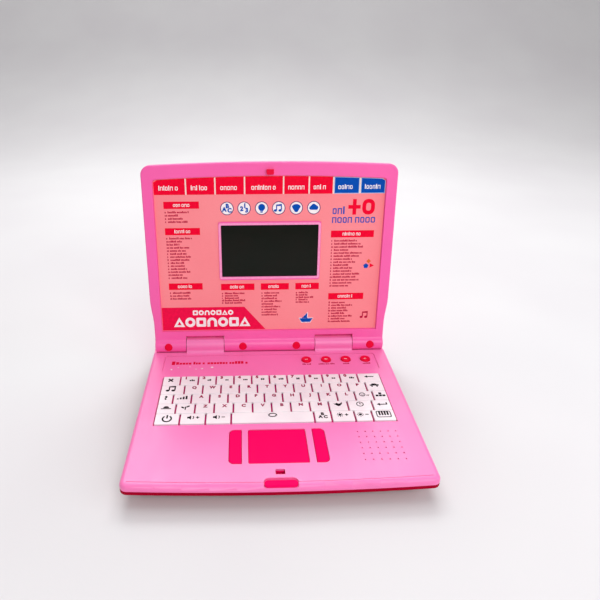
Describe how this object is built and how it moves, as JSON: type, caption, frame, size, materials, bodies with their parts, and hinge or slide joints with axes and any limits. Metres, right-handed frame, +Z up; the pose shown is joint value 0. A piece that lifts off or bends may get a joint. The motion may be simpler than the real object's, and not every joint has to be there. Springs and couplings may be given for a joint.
{
  "type": "toy laptop computer",
  "caption": "Pink toy laptop with a hinged lid, printed activity sheet round a small dark screen, white keyboard, touch pad and latch.",
  "frame": {"origin": "bottom centre of the object's box with the lid standing open", "axes": "+X to the user's right along the hinge, +Y from the front edge to the hinge, +Z up"},
  "size_m": [0.27, 0.2493, 0.2353],
  "materials": {
    "pink_deck": "satin moulded plastic",
    "pink_lid": "satin moulded plastic",
    "crimson_tray": "satin moulded plastic",
    "red_controls": "satin moulded plastic",
    "white_keys": "smooth moulded plastic",
    "magenta_frame": "fine moulded texture",
    "printed_sheet": "printed card under a matt film",
    "screen": "smoked clear plastic",
    "display": "display glass in a metal frame",
    "circuit_board": "solder-masked board",
    "rubber_grey": "soft matt rubber",
    "rubber_white": "silicone rubber",
    "steel": "drawn wire and rolled plate",
    "speaker_black": "paper cone and black basket",
    "cell_jacket": "shrink-wrapped cell jacket",
    "black_plastic": "moulded black plastic"
  },
  "bodies": {
    "base": {"base_top_shell": "pink_deck", "base_bottom_shell": "crimson_tray", "key_frame": "magenta_frame", "keypad_membrane": "rubber_white", "main_board": "circuit_board", "touch_pad": "red_controls", "button_pads": "rubber_white", "speaker": "speaker_black", "speaker_ring": "black_plastic", "batteries": "cell_jacket", "battery_contacts": "steel", "latch_spring": "steel", "mouse_socket": "black_plastic", "base_screws": "steel", "rubber_feet": "rubber_grey", "base_cable": "black_plastic", "hinge_pin_left": "steel", "hinge_pin_right": "steel", "hinge_bush": "steel"},
    "lid": {"lid_front_shell": "pink_lid", "lid_back_shell": "pink_lid", "activity_sheet": "printed_sheet", "screen_window": "screen", "display_module": "display", "display_board": "circuit_board", "lid_hook": "red_controls", "screw_plugs": "red_controls", "lid_screws": "steel", "lid_cable": "black_plastic"},
    "latch": {"latch_button": "red_controls"},
    "battery_door": {"battery_door": "crimson_tray", "battery_door_screw": "steel"},
    "esc_key": {"esc_key": "white_keys"},
    "digit_keys": {"digit_keys": "white_keys"},
    "back_key": {"back_key": "white_keys"},
    "music_key": {"music_key": "white_keys"},
    "top_letter_keys": {"top_letter_keys": "white_keys"},
    "car_key": {"car_key": "white_keys"},
    "help_key": {"help_key": "white_keys"},
    "level_key": {"level_key": "white_keys"},
    "home_letter_keys": {"home_letter_keys": "white_keys"},
    "blocks_key": {"blocks_key": "white_keys"},
    "hat_key": {"hat_key": "white_keys"},
    "sprout_key": {"sprout_key": "white_keys"},
    "bottom_letter_keys": {"bottom_letter_keys": "white_keys"},
    "enter_key": {"enter_key": "white_keys"},
    "power_key": {"power_key": "white_keys"},
    "volume_up_key": {"volume_up_key": "white_keys"},
    "volume_down_key": {"volume_down_key": "white_keys"},
    "repeat_bar": {"repeat_bar": "white_keys"},
    "letters_key": {"letters_key": "white_keys"},
    "contrast_up_key": {"contrast_up_key": "white_keys"},
    "contrast_down_key": {"contrast_down_key": "white_keys"},
    "piano_key": {"piano_key": "white_keys"},
    "round_button_1": {"round_button_1": "red_controls"},
    "round_button_2": {"round_button_2": "red_controls"},
    "round_button_3": {"round_button_3": "red_controls"},
    "round_button_4": {"round_button_4": "red_controls"},
    "left_click_button": {"left_click_button": "red_controls"},
    "right_click_button": {"right_click_button": "red_controls"}
  },
  "joints": [
    {"name": "lid_hinge", "type": "hinge", "parent": "base", "child": "lid", "pos_m": [0, 0.0892, 0.0294], "axis": [1, 0, 0], "range_deg": [-20, 97.7]},
    {"name": "latch_press", "type": "slide", "parent": "base", "child": "latch", "axis": [0, 1, 0], "range_m": [0, 0.0015], "stiffness_N_per_m": 500, "springref_m": -0.001, "deforming": ["latch_spring"]},
    {"name": "battery_door_swing", "type": "hinge", "parent": "base", "child": "battery_door", "pos_m": [-0.10922, -0.0815, 0.003], "axis": [0, 1, 0], "range_deg": [0, 75]},
    {"name": "esc_key_press", "type": "slide", "parent": "base", "child": "esc_key", "axis": [0, 0, -1], "range_m": [0, 0.0011], "stiffness_N_per_m": 400, "springref_m": -0.001},
    {"name": "digit_keys_press", "type": "slide", "parent": "base", "child": "digit_keys", "axis": [0, 0, -1], "range_m": [0, 0.0011], "stiffness_N_per_m": 400, "springref_m": -0.001},
    {"name": "back_key_press", "type": "slide", "parent": "base", "child": "back_key", "axis": [0, 0, -1], "range_m": [0, 0.0011], "stiffness_N_per_m": 400, "springref_m": -0.001},
    {"name": "music_key_press", "type": "slide", "parent": "base", "child": "music_key", "axis": [0, 0, -1], "range_m": [0, 0.0011], "stiffness_N_per_m": 400, "springref_m": -0.001},
    {"name": "top_letter_keys_press", "type": "slide", "parent": "base", "child": "top_letter_keys", "axis": [0, 0, -1], "range_m": [0, 0.0011], "stiffness_N_per_m": 400, "springref_m": -0.001},
    {"name": "car_key_press", "type": "slide", "parent": "base", "child": "car_key", "axis": [0, 0, -1], "range_m": [0, 0.0011], "stiffness_N_per_m": 400, "springref_m": -0.001},
    {"name": "help_key_press", "type": "slide", "parent": "base", "child": "help_key", "axis": [0, 0, -1], "range_m": [0, 0.0011], "stiffness_N_per_m": 400, "springref_m": -0.001},
    {"name": "level_key_press", "type": "slide", "parent": "base", "child": "level_key", "axis": [0, 0, -1], "range_m": [0, 0.0011], "stiffness_N_per_m": 400, "springref_m": -0.001},
    {"name": "home_letter_keys_press", "type": "slide", "parent": "base", "child": "home_letter_keys", "axis": [0, 0, -1], "range_m": [0, 0.0011], "stiffness_N_per_m": 400, "springref_m": -0.001},
    {"name": "blocks_key_press", "type": "slide", "parent": "base", "child": "blocks_key", "axis": [0, 0, -1], "range_m": [0, 0.0011], "stiffness_N_per_m": 400, "springref_m": -0.001},
    {"name": "hat_key_press", "type": "slide", "parent": "base", "child": "hat_key", "axis": [0, 0, -1], "range_m": [0, 0.0011], "stiffness_N_per_m": 400, "springref_m": -0.001},
    {"name": "sprout_key_press", "type": "slide", "parent": "base", "child": "sprout_key", "axis": [0, 0, -1], "range_m": [0, 0.0011], "stiffness_N_per_m": 400, "springref_m": -0.001},
    {"name": "bottom_letter_keys_press", "type": "slide", "parent": "base", "child": "bottom_letter_keys", "axis": [0, 0, -1], "range_m": [0, 0.0011], "stiffness_N_per_m": 400, "springref_m": -0.001},
    {"name": "enter_key_press", "type": "slide", "parent": "base", "child": "enter_key", "axis": [0, 0, -1], "range_m": [0, 0.0011], "stiffness_N_per_m": 400, "springref_m": -0.001},
    {"name": "power_key_press", "type": "slide", "parent": "base", "child": "power_key", "axis": [0, 0, -1], "range_m": [0, 0.0011], "stiffness_N_per_m": 400, "springref_m": -0.001},
    {"name": "volume_up_key_press", "type": "slide", "parent": "base", "child": "volume_up_key", "axis": [0, 0, -1], "range_m": [0, 0.0011], "stiffness_N_per_m": 400, "springref_m": -0.001},
    {"name": "volume_down_key_press", "type": "slide", "parent": "base", "child": "volume_down_key", "axis": [0, 0, -1], "range_m": [0, 0.0011], "stiffness_N_per_m": 400, "springref_m": -0.001},
    {"name": "repeat_bar_press", "type": "slide", "parent": "base", "child": "repeat_bar", "axis": [0, 0, -1], "range_m": [0, 0.0011], "stiffness_N_per_m": 400, "springref_m": -0.001},
    {"name": "letters_key_press", "type": "slide", "parent": "base", "child": "letters_key", "axis": [0, 0, -1], "range_m": [0, 0.0011], "stiffness_N_per_m": 400, "springref_m": -0.001},
    {"name": "contrast_up_key_press", "type": "slide", "parent": "base", "child": "contrast_up_key", "axis": [0, 0, -1], "range_m": [0, 0.0011], "stiffness_N_per_m": 400, "springref_m": -0.001},
    {"name": "contrast_down_key_press", "type": "slide", "parent": "base", "child": "contrast_down_key", "axis": [0, 0, -1], "range_m": [0, 0.0011], "stiffness_N_per_m": 400, "springref_m": -0.001},
    {"name": "piano_key_press", "type": "slide", "parent": "base", "child": "piano_key", "axis": [0, 0, -1], "range_m": [0, 0.0011], "stiffness_N_per_m": 400, "springref_m": -0.001},
    {"name": "round_button_1_press", "type": "slide", "parent": "base", "child": "round_button_1", "axis": [0, 0, -1], "range_m": [0, 0.001], "stiffness_N_per_m": 400, "springref_m": -0.001},
    {"name": "round_button_2_press", "type": "slide", "parent": "base", "child": "round_button_2", "axis": [0, 0, -1], "range_m": [0, 0.001], "stiffness_N_per_m": 400, "springref_m": -0.001},
    {"name": "round_button_3_press", "type": "slide", "parent": "base", "child": "round_button_3", "axis": [0, 0, -1], "range_m": [0, 0.001], "stiffness_N_per_m": 400, "springref_m": -0.001},
    {"name": "round_button_4_press", "type": "slide", "parent": "base", "child": "round_button_4", "axis": [0, 0, -1], "range_m": [0, 0.001], "stiffness_N_per_m": 400, "springref_m": -0.001},
    {"name": "left_click_button_press", "type": "slide", "parent": "base", "child": "left_click_button", "axis": [0, 0, -1], "range_m": [0, 0.0008], "stiffness_N_per_m": 500, "springref_m": -0.001},
    {"name": "right_click_button_press", "type": "slide", "parent": "base", "child": "right_click_button", "axis": [0, 0, -1], "range_m": [0, 0.0008], "stiffness_N_per_m": 500, "springref_m": -0.001}
  ]
}
